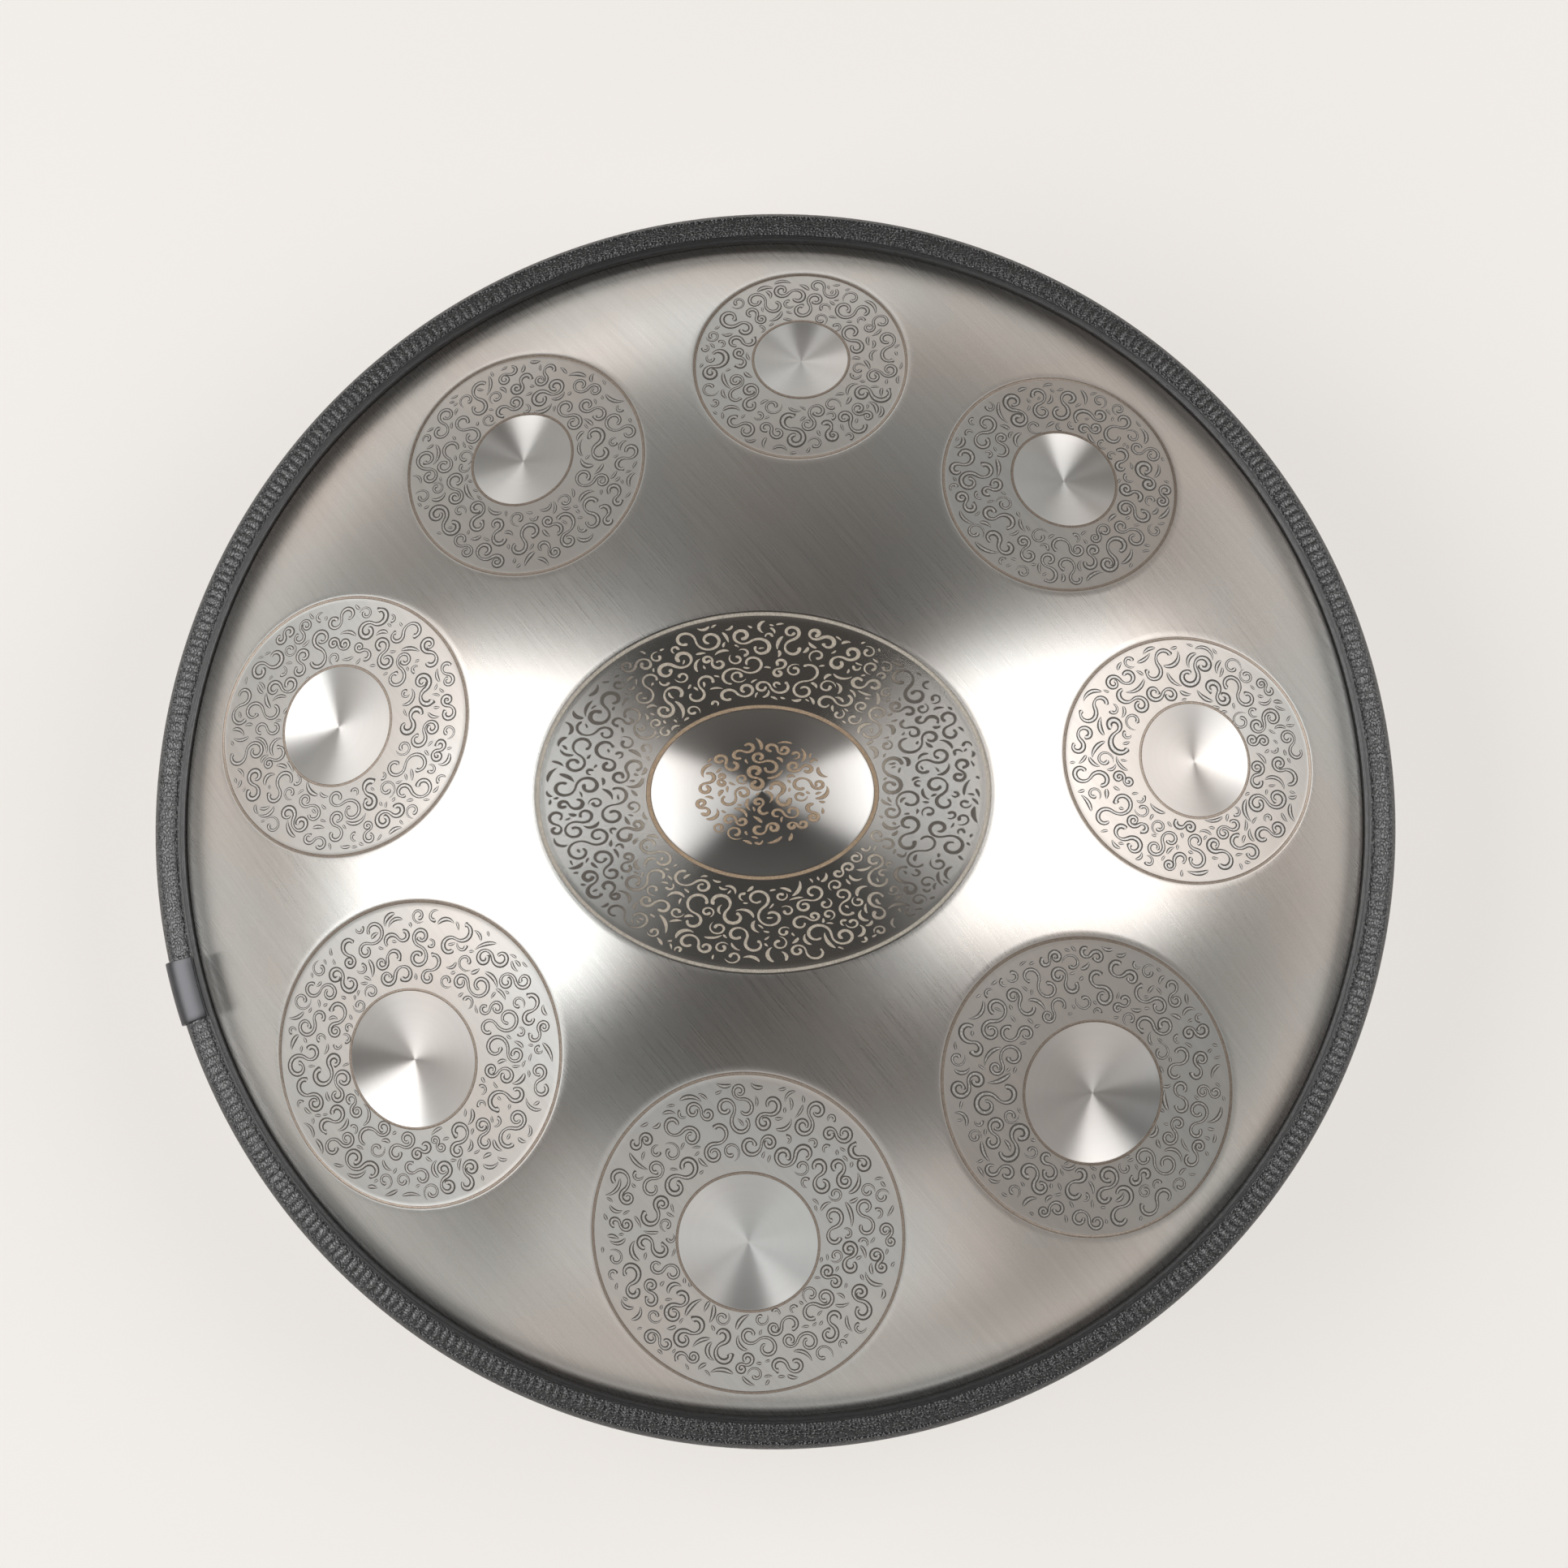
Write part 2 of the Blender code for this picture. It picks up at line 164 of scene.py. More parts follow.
def dome_height(radius):
    """Height of the plain dome's outer face above the rim plane, for an array of radii."""
    radius = np.asarray(radius, float)
    crown = DOME_RISE - CROWN_ARC + np.sqrt(np.maximum(CROWN_ARC**2 - radius**2, 0))
    centre_height = DOME_RISE - CROWN_ARC + (CROWN_ARC - SHOULDER_ARC) * math.cos(CROWN_SLOPE)
    shoulder = centre_height + np.sqrt(np.maximum(SHOULDER_ARC**2 - (radius - SHOULDER_CENTRE) ** 2, 0))
    inward = FOOT_CENTRE - np.clip(radius, SHOULDER_RADIUS, DOME_RADIUS)
    foot = FOOT_ARC * math.cos(FOOT_SLOPE) - np.sqrt(FOOT_ARC**2 - inward**2)
    outer = np.where(radius < SHOULDER_RADIUS, shoulder, foot)
    return FLANGE_FACE + np.where(radius < CROWN_END, crown, outer)


def smoothstep(value):
    value = np.clip(value, 0, 1)
    return value * value * (3 - 2 * value)


def field_height(field, x, y):
    """Height of the outer face inside a field, for arrays of plan points."""
    along, across = field.from_plan(np.asarray(x, float), np.asarray(y, float))
    inner_end = float(dome_height(abs(field.distance - field.length)))
    outer_end = float(dome_height(field.distance + field.length))
    side = float(dome_height(math.hypot(field.distance, field.width)))
    slope = (outer_end - inner_end) / (2 * field.length)
    middle = (inner_end + outer_end) / 2
    flat = field.flatness * (side - middle)
    reach = np.maximum(np.hypot(along / field.length, across / field.width), 1e-9)
    edge_radius = np.hypot(field.distance + along / reach, across / reach)
    edge = dome_height(edge_radius) - middle - slope * along / reach
    height = middle + slope * along + flat + (edge - flat) * reach**FLATTENING_POWER
    height = height - PRESS_STEP * smoothstep((1 - reach) / PRESS_EDGE)
    from_middle = np.hypot((along - field.offset) / field.middle_length, across / field.middle_width)
    return height + field.press * np.maximum(0.0, 1 - from_middle**field.middle_power)


def surface_point(field, x, y, lift=0.0):
    """World points on a field's outer face, lifted along its normal."""
    step = 0.0002
    z = field_height(field, x, y)
    slope_x = (field_height(field, x + step, y) - field_height(field, x - step, y)) / (2 * step)
    slope_y = (field_height(field, x, y + step) - field_height(field, x, y - step)) / (2 * step)
    scale = np.asarray(lift) / np.sqrt(1 + slope_x**2 + slope_y**2)
    return np.stack([x - slope_x * scale, y - slope_y * scale, RIM_PLANE + z + scale], axis=-1)


# ---- materials

def new_material(name, colour, roughness, metallic):
    material = bpy.data.materials.new(name)
    material.use_nodes = True
    shader = material.node_tree.nodes["Principled BSDF"]
    shader.inputs["Base Color"].default_value = (*colour, 1.0)
    shader.inputs["Roughness"].default_value = roughness
    shader.inputs["Metallic"].default_value = metallic
    return material, material.node_tree, shader


def add_node(tree, kind, inputs=None, **settings):
    """Add a shader node, set its properties, and set or link its inputs."""
    node = tree.nodes.new("ShaderNode" + kind)
    for key, value in settings.items():
        setattr(node, key, value)
    for key, value in (inputs or {}).items():
        if isinstance(value, bpy.types.NodeSocket):
            tree.links.new(value, node.inputs[key])
        else:
            node.inputs[key].default_value = value
    return node


def add_ramp(tree, factor, stops):
    ramp = add_node(tree, "ValToRGB", {"Fac": factor})
    elements = ramp.color_ramp.elements
    elements[0].position, elements[0].color = stops[0][0], (*stops[0][1], 1)
    elements[1].position, elements[1].color = stops[-1][0], (*stops[-1][1], 1)
    for position, colour in stops[1:-1]:
        elements.new(position).color = (*colour, 1)
    return ramp.outputs["Color"]


def add_range(tree, value, low, high, to_low, to_high):
    inputs = {"Value": value, "From Min": low, "From Max": high, "To Min": to_low, "To Max": to_high}
    return add_node(tree, "MapRange", inputs).outputs["Result"]


def brushed_steel(name, colour, roughness, anisotropy, grain=1.0, streak=1.0):
    """Steel with fine scratches along V of the Brush map, which is in metres."""
    material, tree, shader = new_material(name, colour, roughness, 1.0)
    uv = add_node(tree, "UVMap", uv_map="Brush").outputs["UV"]

    def streaks(along, across, detail):
        scale = add_node(tree, "Mapping", {"Vector": uv, "Scale": (1 / across, 1 / along, 1)})
        inputs = {"Vector": scale.outputs["Vector"], "Scale": 1.0, "Detail": detail, "Roughness": 0.65}
        return add_node(tree, "TexNoise", inputs, noise_dimensions="2D").outputs["Fac"]

    fine = streaks(0.045, 0.00032, 3)
    broad = streaks(0.150, 0.0022, 4)
    place = add_node(tree, "TexCoord").outputs["Object"]
    cloud = add_node(tree, "TexNoise", {"Vector": place, "Scale": 9.0, "Detail": 3}).outputs["Fac"]
    warm = [channel * tint for channel, tint in zip(colour, (1.03, 0.985, 0.955))]
    cool = [channel * tint for channel, tint in zip(colour, (0.965, 1.0, 1.01))]
    tone = add_ramp(tree, cloud, [(0.38, warm), (0.62, cool)])
    streak_tone = add_range(tree, broad, 0.3, 0.7, 1 - 0.03 * streak, 1 + 0.03 * streak)
    mixed = add_node(tree, "Mix", None, data_type="RGBA", blend_type="MULTIPLY")
    mixed.inputs[0].default_value = 1.0
    tree.links.new(tone, mixed.inputs[6])
    tree.links.new(streak_tone, mixed.inputs[7])
    tree.links.new(mixed.outputs[2], shader.inputs["Base Color"])
    rough = add_range(tree, fine, 0.3, 0.7, roughness * (1 - 0.1 * grain), roughness * (1 + 0.1 * grain))
    tree.links.new(rough, shader.inputs["Roughness"])
    bump = add_node(tree, "Bump", {"Height": fine, "Strength": 0.055 * grain, "Distance": 0.0002})
    tree.links.new(bump.outputs["Normal"], shader.inputs["Normal"])
    tangent = add_node(tree, "Tangent", direction_type="UV_MAP", uv_map="Brush").outputs["Tangent"]
    tree.links.new(tangent, shader.inputs["Tangent"])
    shader.inputs["Anisotropic"].default_value = anisotropy
    return material


STEEL_DOME = brushed_steel("steel_dome", (0.60, 0.575, 0.55), 0.29, 0.55)
STEEL_FIELD = brushed_steel("steel_field", (0.56, 0.537, 0.513), 0.40, 0.3, 0.4)
STEEL_DIMPLE = brushed_steel("steel_dimple", (0.68, 0.665, 0.65), 0.36, 0.9, 0.12, 0.35)
STEEL_CENTRE = brushed_steel("steel_centre", (0.84, 0.81, 0.77), 0.24, 0.95, 0.06, 0.2)
STEEL_CROWN = brushed_steel("steel_crown", (0.72, 0.70, 0.68), 0.28, 0.9, 0.06, 0.3)
STEEL_LOWER = brushed_steel("steel_lower", (0.62, 0.60, 0.57), 0.34, 0.6)


# ---- mesh tools

def mesh_piece(name, mesh, body, slot, *replaced):
    """Link a finished mesh as a piece that stands for CAD nodes."""
    piece = bpy.data.objects.new(name, mesh)
    bpy.context.scene.collection.objects.link(piece)
    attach(piece, body)
    if replaced:
        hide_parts(*replaced)
    return piece


class Surface:
    """Collects vertices, faces, UVs and material numbers for one mesh."""

    def __init__(self):
        self.vertices = []
        self.faces = []
        self.uvs = []
        self.materials = []
        self.count = 0

    def add_vertices(self, points):
        points = np.asarray(points, float).reshape(-1, 3)
        first = self.count
        self.vertices.append(points)
        self.count += len(points)
        return first

    def add_face(self, corners, uvs, material):
        self.faces.append(corners)
        self.uvs.extend(uvs)
        self.materials.append(material)

    def build(self, name, materials, weld=0.0):
        mesh = bpy.data.meshes.new(name)
        mesh.from_pydata(np.concatenate(self.vertices).tolist(), [], self.faces)
        for material in materials:
            mesh.materials.append(material)
        layer = mesh.uv_layers.new(name="Brush")
        layer.data.foreach_set("uv", np.asarray(self.uvs, np.float32).ravel())
        mesh.polygons.foreach_set("material_index", self.materials)
        if weld:
            model = bmesh.new()
            model.from_mesh(mesh)
            bmesh.ops.remove_doubles(model, verts=model.verts, dist=weld)
            model.to_mesh(mesh)
            model.free()
        mesh.validate()
        mesh.shade_smooth()
        return mesh


def circle(radius, steps, start=0.0):
    turns = start + 2 * np.pi * np.arange(steps) / steps
    return np.stack([radius * np.cos(turns), radius * np.sin(turns)], axis=-1)


def ellipse(field, length, width, offset, steps):
    turns = 2 * np.pi * np.arange(steps) / steps
    x, y = field.to_plan(offset + length * np.cos(turns), width * np.sin(turns))
    return np.stack([x, y], axis=-1)


# ---- upper shell

BRUSH_DIRECTION = np.array([0.64, -0.77])
BRUSH_ACROSS = np.array([0.77, 0.64])
DOME_SPACING = 0.0030
INNER_SPACING = 0.009
OUTLINE_SPACING = 0.0026
RIM_RING_STEPS = 576
COLLAR = 0.0022
LOOSE_MARGIN = 0.0038
MEMBRANE_SHARES = [0, 0.015, 0.03, 0.05, 0.075] + list(np.linspace(0.10, 0.94, 15)) + [0.97, 1.0]
MIDDLE_SHARES = [0.985, 0.96] + list(np.linspace(0.92, 0.06, 14))
TOP_DOME, TOP_FIELD, TOP_DIMPLE, TOP_CENTRE, TOP_CROWN = range(5)


def linear_uv(plan):
    return np.stack([plan @ BRUSH_ACROSS, plan @ BRUSH_DIRECTION], axis=-1)


def outline_steps(field):
    around = math.pi * (field.length + field.width)
    return 8 * round(around / OUTLINE_SPACING / 8)


def hex_grid(radius, spacing):
    """Plan points of a hexagonal grid inside a circle."""
    rows = int(radius / (spacing * 0.866)) + 1
    columns = int(radius / spacing) + 1
    points = []
    for row in range(-rows, rows + 1):
        shift = 0.5 * (row % 2)
        line = (np.arange(-columns, columns + 1) + shift) * spacing
        points.append(np.stack([line, np.full_like(line, row * spacing * 0.866)], axis=-1))
    points = np.concatenate(points)
    return points[np.hypot(points[:, 0], points[:, 1]) < radius]


def triangulate(rings, loose):
    """Constrained triangulation of closed plan rings and loose points."""
    points = [tuple(point) for ring in rings for point in ring] + [tuple(point) for point in loose]
    edges = []
    first = 0
    for ring in rings:
        edges += [(first + i, first + (i + 1) % len(ring)) for i in range(len(ring))]
        first += len(ring)
    plan, _, triangles, *_ = delaunay_2d_cdt([Vector(point) for point in points], edges, [], 0, 1e-8)
    return np.array([tuple(point) for point in plan]), triangles


def add_dome(surface):
    """The sheet between the fields, out to the flange's edge."""
    foot = FOOT_CENTRE - FOOT_ARC * np.sin(np.linspace(FOOT_SLOPE, SHOULDER_SLOPE, 5))
    rings = [circle(radius, RIM_RING_STEPS) for radius in (FLANGE_RADIUS, *foot)]
    for field in FIELDS:
        steps = outline_steps(field)
        rings.append(ellipse(field, field.length, field.width, 0.0, steps))
        rings.append(ellipse(field, field.length + COLLAR, field.width + COLLAR, 0.0, steps))
    loose = hex_grid(SHOULDER_RADIUS - 0.0018, DOME_SPACING)
    keep = np.ones(len(loose), bool)
    for field in FIELDS:
        keep &= field.reach(loose[:, 0], loose[:, 1], LOOSE_MARGIN) > 1
    plan, triangles = triangulate(rings, loose[keep])
    radius = np.hypot(plan[:, 0], plan[:, 1])
    first = surface.add_vertices(np.column_stack([plan, RIM_PLANE + dome_height(radius)]))
    uv = linear_uv(plan)
    for triangle in triangles:
        corners = list(triangle)
        centre = plan[corners].mean(axis=0)
        if any(field.reach(*centre) < 0.9999 for field in FIELDS):
            continue
        surface.add_face([first + i for i in corners], uv[corners], TOP_DOME)


def add_field(surface, field, membrane, middle):
    """One field on rings from its outline to its middle: a flat annulus, then the dimple."""
    steps = outline_steps(field)
    turns = 2 * np.pi * np.arange(steps + 1) / steps
    outline = np.stack(field.to_plan(field.length * np.cos(turns), field.width * np.sin(turns)), axis=-1)
    rim = field.offset + field.middle_length * np.cos(turns), field.middle_width * np.sin(turns)
    rim = np.stack(field.to_plan(*rim), axis=-1)
    centre = np.array(field.to_plan(field.offset, 0.0))
    rings = [outline + (rim - outline) * share for share in MEMBRANE_SHARES]
    kinds = [membrane] * (len(MEMBRANE_SHARES) - 1)
    rings += [centre + (rim - centre) * share for share in MIDDLE_SHARES]
    kinds += [middle] * len(MIDDLE_SHARES)
    starts = []
    for ring in rings:
        x, y = ring[:-1, 0], ring[:-1, 1]
        starts.append(surface.add_vertices(np.column_stack([x, y, RIM_PLANE + field_height(field, x, y)])))
    mean = (field.middle_length + field.middle_width) / 2
    for index, kind in enumerate(kinds):
        outer, following = starts[index], starts[index + 1]
        linear = linear_uv(rings[index]), linear_uv(rings[index + 1])
        spans = [np.hypot(*(rings[k] - centre).T).mean() for k in (index, index + 1)]
        for step in range(steps):
            after = (step + 1) % steps
            corners = [outer + step, outer + after, following + after, following + step]
            if kind == middle or field is CENTRE_NOTE:
                low, high = turns[step] * mean, turns[step + 1] * mean
                uv = [(spans[0], low), (spans[0], high), (spans[1], high), (spans[1], low)]
            else:
                uv = [linear[0][step], linear[0][step + 1], linear[1][step + 1], linear[1][step]]
            surface.add_face(corners, uv, kind)
    hub = surface.add_vertices([[*centre, RIM_PLANE + float(field_height(field, *centre))]])
    last = starts[-1]
    for step in range(steps):
        low, high = turns[step] * mean, turns[step + 1] * mean
        uv = [(0.001, low), (0.001, high), (0.0, (low + high) / 2)]
        surface.add_face([last + step, last + (step + 1) % steps, hub], uv, middle)


def add_inner_face(surface):
    """The sheet's inner face, coarser because it is only seen through the port."""
    rings = [circle(FLANGE_RADIUS, RIM_RING_STEPS)]
    rings += [circle(radius, RIM_RING_STEPS // 4) for radius in (DOME_RADIUS, SHOULDER_RADIUS)]
    for field in FIELDS:
        rings.append(ellipse(field, field.length, field.width, 0.0, 64))
        rings.append(ellipse(field, field.middle_length, field.middle_width, field.offset, 40))
        rings.append(ellipse(field, 0.5 * field.middle_length, 0.5 * field.middle_width, field.offset, 20))
    loose = hex_grid(SHOULDER_RADIUS - 0.003, INNER_SPACING)
    plan, triangles = triangulate(rings, loose)
    height = dome_height(np.hypot(plan[:, 0], plan[:, 1]))
    for field in FIELDS:
        inside = field.reach(plan[:, 0], plan[:, 1]) < 1.0001
        height[inside] = field_height(field, plan[inside, 0], plan[inside, 1])
    radius = np.hypot(plan[:, 0], plan[:, 1])
    slope = (dome_height(radius + 0.0005) - dome_height(radius - 0.0005)) / 0.001
    slope[radius > DOME_RADIUS - 0.0001] = 0
    drop = SHEET * np.sqrt(1 + np.minimum(slope**2, 3))
    first = surface.add_vertices(np.column_stack([plan, RIM_PLANE + height - drop]))
    uv = linear_uv(plan)
    for triangle in triangles:
        corners = list(triangle)[::-1]
        surface.add_face([first + i for i in corners], uv[corners], TOP_DOME)


def add_edge(surface):
    """The cut edge of the flange, between the two faces."""
    edge = circle(FLANGE_RADIUS, RIM_RING_STEPS)
    heights = (FLANGE_FACE, FLANGE_FACE - SHEET)
    first = []
    for height in heights:
        level = np.full(len(edge), RIM_PLANE + height)
        first.append(surface.add_vertices(np.column_stack([edge, level])))
    for step in range(RIM_RING_STEPS):
        after = (step + 1) % RIM_RING_STEPS
        corners = [first[0] + after, first[0] + step, first[1] + step, first[1] + after]
        surface.add_face(corners, [(0, 0), (0, 0.001), (0.001, 0.001), (0.001, 0)], TOP_DOME)


def build_upper_shell():
    surface = Surface()
    add_dome(surface)
    add_field(surface, CENTRE_NOTE, TOP_CENTRE, TOP_CROWN)
    for field in TONE_FIELDS:
        add_field(surface, field, TOP_FIELD, TOP_DIMPLE)
    add_inner_face(surface)
    add_edge(surface)
    materials = [STEEL_DOME, STEEL_FIELD, STEEL_DIMPLE, STEEL_CENTRE, STEEL_CROWN]
    mesh = surface.build("upper_shell", materials, weld=0.00002)
    mesh.set_sharp_from_angle(angle=math.radians(40))
    return mesh_piece("upper_shell", mesh, "root", "top_steel", "top_shell")


# ---- turned pieces

def turned_mesh(name, section, turns, materials, displace=None):
    """Turn a section of (radius, height above the rim plane) points round the axis."""
    surface = Surface()
    section = np.asarray(section, float)
    count = len(section)
    steps = len(turns)
    radius = np.repeat(section[None, :, 0], steps, axis=0)
    height = np.repeat(section[None, :, 1], steps, axis=0)
    if displace:
        radius, height = displace(turns[:, None], radius, height)
    x = radius * np.cos(turns)[:, None]
    y = radius * np.sin(turns)[:, None]
    surface.add_vertices(np.stack([x, y, RIM_PLANE + height], axis=-1))
    ends = np.vstack([section, section[:1]])
    lengths = np.hypot(*np.diff(ends, axis=0).T)
    run = np.concatenate([[0], np.cumsum(lengths)])
    mean = section[:, 0].mean()
    for step in range(steps):
        after = (step + 1) % steps
        low, high = turns[step] * mean, (turns[after] if after else 2 * np.pi) * mean
        for k in range(count):
            following = (k + 1) % count
            corners = [step * count + k, step * count + following]
            corners += [after * count + following, after * count + k]
            uv = [(run[k], low), (run[k + 1], low), (run[k + 1], high), (run[k], high)]
            surface.add_face(corners, uv, 0)
    return surface.build(name, materials)


def arc(centre_radius, centre_height, size, start, end, steps):
    """Section points of an arc between two angles in degrees."""
    turns = np.radians(np.linspace(start, end, steps + 1))
    return [(centre_radius + size * math.cos(t), centre_height + size * math.sin(t)) for t in turns]


def build_lower_shell():
    """The dome turned over, with the land, the port's bend and a rolled lip on its neck."""
    face = [(FLANGE_RADIUS, -FLANGE_FACE), (DOME_RADIUS + 0.002, -FLANGE_FACE)]
    foot = FOOT_CENTRE - FOOT_ARC * np.sin(np.linspace(FOOT_SLOPE, SHOULDER_SLOPE, 6)[:-1])
    face += [(r, -float(dome_height(r))) for r in foot]
    slopes = np.linspace(SHOULDER_SLOPE, CROWN_SLOPE, 22)
    face += [(r, -float(dome_height(r - 1e-9))) for r in SHOULDER_CENTRE + SHOULDER_ARC * np.sin(slopes)]
    face += [(r, -float(dome_height(r))) for r in np.linspace(CROWN_END, LAND_RADIUS + 0.002, 30)[1:]]
    ground = -RIM_PLANE
    face += [(LAND_RADIUS, ground + 0.0001), (LAND_RADIUS - 0.001, ground)]
    face += arc(PORT_RADIUS + NECK_BEND, ground + NECK_BEND, NECK_BEND, 270, 180, 10)
    top = ground + NECK_HEIGHT
    face += [(PORT_RADIUS, height) for height in np.linspace(ground + NECK_BEND, top - SHEET / 2, 6)[1:]]
    face = np.array(face)
    direction = np.gradient(face, axis=0)
    direction /= np.hypot(*direction.T)[:, None]
    inner = face + SHEET * np.stack([direction[:, 1], -direction[:, 0]], axis=-1)
    inner[0] = FLANGE_RADIUS, -FLANGE_FACE + SHEET
    lip = arc(PORT_RADIUS + SHEET / 2, top - SHEET / 2, SHEET / 2, 180, 0, 6)
    section = list(map(tuple, face)) + lip[1:-1] + list(map(tuple, inner[::-1]))
    mesh = turned_mesh("lower_shell", section, 2 * np.pi * np.arange(288) / 288, [STEEL_LOWER])
    mesh.set_sharp_from_angle(angle=math.radians(40))
    return mesh_piece("lower_shell", mesh, "root", "bottom_steel", "bottom_shell")


# ---- edge trim

RIB_COUNT = 430
RIB_PHASES = (0.0, 0.13, 0.5, 0.87)
RIB_DEPTH = 0.00050
CROWN_RADIUS = TRIM_RADIUS - 0.0112
TRIM_SQUARENESS = 2.0
CLIP_GAP = 0.0003
CLIP_SHEET = CLIP_HIGH.z - RIM_PLANE - TRIM_HALF - CLIP_GAP
CLIP_EASE = 0.0003
CLIP_INNER_RADIUS = 0.2683
CLIP_METAL = ("clip_metal", (0.10, 0.10, 0.106), 0.36, 1.0, (260, 5), (0.95, 1.0375), (0.02, 0.0002), 0.075)
RIBBED_FROM = 0.0056
RIBBED_EASE = 0.0006
PRESSED_FROM = 0.0030
PRESSED_EASE = 0.001
PEBBLES_PER_METRE = (820, 620, 1)
GRAINS_PER_METRE = (1500, 1500, 1)
PEBBLE_DEPTH = 0.00022
GRAIN_DEPTH = 0.00018
COVER_SHEET = 0.0016
COVER_BACK = 0.0024
MOUTH_GAP = 0.0003
# The cover's lip and its bead: distance out from the inner edge, and depth below the top.
LIP_POINTS = (
    (0.0, 0.0018), (0.0004, 0.0013), (0.0012, 0.0010), (0.0018, 0.0008),
    (0.0021, 0.0003), (0.0025, 0.0002), (0.0028, 0.0005), (0.0033, 0.0001),
)
CROWN_TURNS = (8, 20, 31, 41, 50, 59, 68, 77, 85)


def rubber_material():
    """Black rubber with a pebbled emboss on its outer part, whose high spots are shiny."""
    material, tree, shader = new_material("trim_rubber", (0.02, 0.02, 0.02), 0.4, 0.0)
    uv = add_node(tree, "UVMap", uv_map="Brush").outputs["UV"]
    place = add_node(tree, "Mapping", {"Vector": uv, "Scale": PEBBLES_PER_METRE}).outputs["Vector"]
    cells = {"Vector": place, "Scale": 1.0}
    cells = add_node(tree, "TexVoronoi", cells, voronoi_dimensions="2D", feature="F1")
    place = add_node(tree, "Mapping", {"Vector": uv, "Scale": GRAINS_PER_METRE}).outputs["Vector"]
    fine = {"Vector": place, "Scale": 1.0, "Detail": 4}
    fine = add_node(tree, "TexNoise", fine, noise_dimensions="2D")
    across = add_node(tree, "SeparateXYZ", {"Vector": uv}).outputs["X"]
    outer = add_range(tree, across, RIBBED_FROM, RIBBED_FROM + RIBBED_EASE, 0.0, 1.0)
    pebble = add_range(tree, cells.outputs["Distance"], 0.36, 0.62, 1.0, 0.0)
    strength = add_node(tree, "Math", {0: outer, 1: 0.8}, operation="MULTIPLY").outputs[0]
    bump = {"Height": pebble, "Strength": strength, "Distance": PEBBLE_DEPTH}
    bump = add_node(tree, "Bump", bump).outputs["Normal"]
    grain = {"Height": fine.outputs["Fac"], "Strength": 0.6, "Distance": GRAIN_DEPTH, "Normal": bump}
    tree.links.new(add_node(tree, "Bump", grain).outputs["Normal"], shader.inputs["Normal"])
    # painted shade: the base colour is darker in the sunken gaps between the pebbles than on their tops
    colour = add_ramp(tree, pebble, [(0.1, (0.004, 0.004, 0.004)), (0.9, (0.010, 0.010, 0.0105))])
    tree.links.new(colour, shader.inputs["Base Color"])
    high = add_node(tree, "Math", {0: outer, 1: pebble}, operation="MULTIPLY").outputs[0]
    tree.links.new(add_range(tree, high, 0, 1, 0.34, 0.24), shader.inputs["Roughness"])
    shader.inputs["Specular IOR Level"].default_value = 1.0
    shader.inputs["IOR"].default_value = 1.55
    return material


def trim_section():
    """Outline of the cover, listed down its crowned outer side, with its lips at the flanges."""
    mouth = FLANGE_FACE + MOUTH_GAP
    slot = TRIM_HALF - COVER_SHEET
    behind = TRIM_INNER_RADIUS + COVER_SHEET
    end = TRIM_RADIUS - COVER_BACK
    upper = [(TRIM_INNER_RADIUS, mouth)]
    upper += [(TRIM_INNER_RADIUS + out, TRIM_HALF - down) for out, down in LIP_POINTS]
    crowned = []
    for turn in np.radians(CROWN_TURNS):
        across = (TRIM_RADIUS - CROWN_RADIUS) * math.sin(turn) ** (2 / TRIM_SQUARENESS)
        crowned.append((CROWN_RADIUS + across, TRIM_HALF * math.cos(turn) ** (2 / TRIM_SQUARENESS)))
    lower = [(r, -z) for r, z in reversed(upper + crowned)]
    inside = [(behind, -mouth), (behind, -slot), (end, -slot), (end, slot), (behind, slot), (behind, mouth)]
    return upper + crowned + [(TRIM_RADIUS, 0.0)] + lower + inside


def press_ribs(turn, radius, height):
    """Grooves across the trim, pressed into its crowned outer face."""
    phase = turn * RIB_COUNT / (2 * math.pi)
    groove = 0.5 + 0.5 * np.cos(2 * np.pi * phase)
    uneven = 0.8 + 0.2 * np.sin(phase * 2.399) * np.sin(radius * 1700 + phase)
    outward = smoothstep((radius - TRIM_INNER_RADIUS - PRESSED_FROM) / PRESSED_EASE)
    inside = (np.abs(height) <= TRIM_HALF - COVER_SHEET + 1e-6) & (radius <= TRIM_RADIUS - COVER_BACK + 1e-6)
    amount = RIB_DEPTH * groove**4 * uneven * outward * ~inside
    across = np.clip((radius - CROWN_RADIUS) / (TRIM_RADIUS - CROWN_RADIUS), 0, 1)
    up = np.clip(height / TRIM_HALF, -1, 1)
    size = np.hypot(across**1.6, up) + 1e-9
    edge = smoothstep((TRIM_RADIUS - 0.0001 - radius) / 0.0006)
    return radius - amount * edge * across**1.6 / size, height - amount * edge * up / size


def build_trim():
    turns = (np.arange(RIB_COUNT)[:, None] + np.array(RIB_PHASES)).ravel() * 2 * np.pi / RIB_COUNT
    mesh = turned_mesh("edge_trim", trim_section(), turns, [rubber_material()], press_ribs)
    mesh.set_sharp_from_angle(angle=math.radians(60))
    return mesh_piece("edge_trim", mesh, "root", "trim_rubber", "edge_trim_cover")


def clip_outline(offset):
    """The trim's outline at an offset, from the sleeve's upper inner edge round to its lower."""
    half = TRIM_HALF + offset
    upper = [(radius, half) for radius in np.linspace(CLIP_INNER_RADIUS, CROWN_RADIUS + 0.0001, 3)[:-1]]
    for turn in np.radians(np.linspace(0, 90, 17)):
        across = (TRIM_RADIUS - CROWN_RADIUS + offset) * math.sin(turn) ** (2 / TRIM_SQUARENESS)
        upper.append((CROWN_RADIUS + across, half * math.cos(turn) ** (2 / TRIM_SQUARENESS)))
    return upper + [(radius, -height) for radius, height in reversed(upper[:-1])]


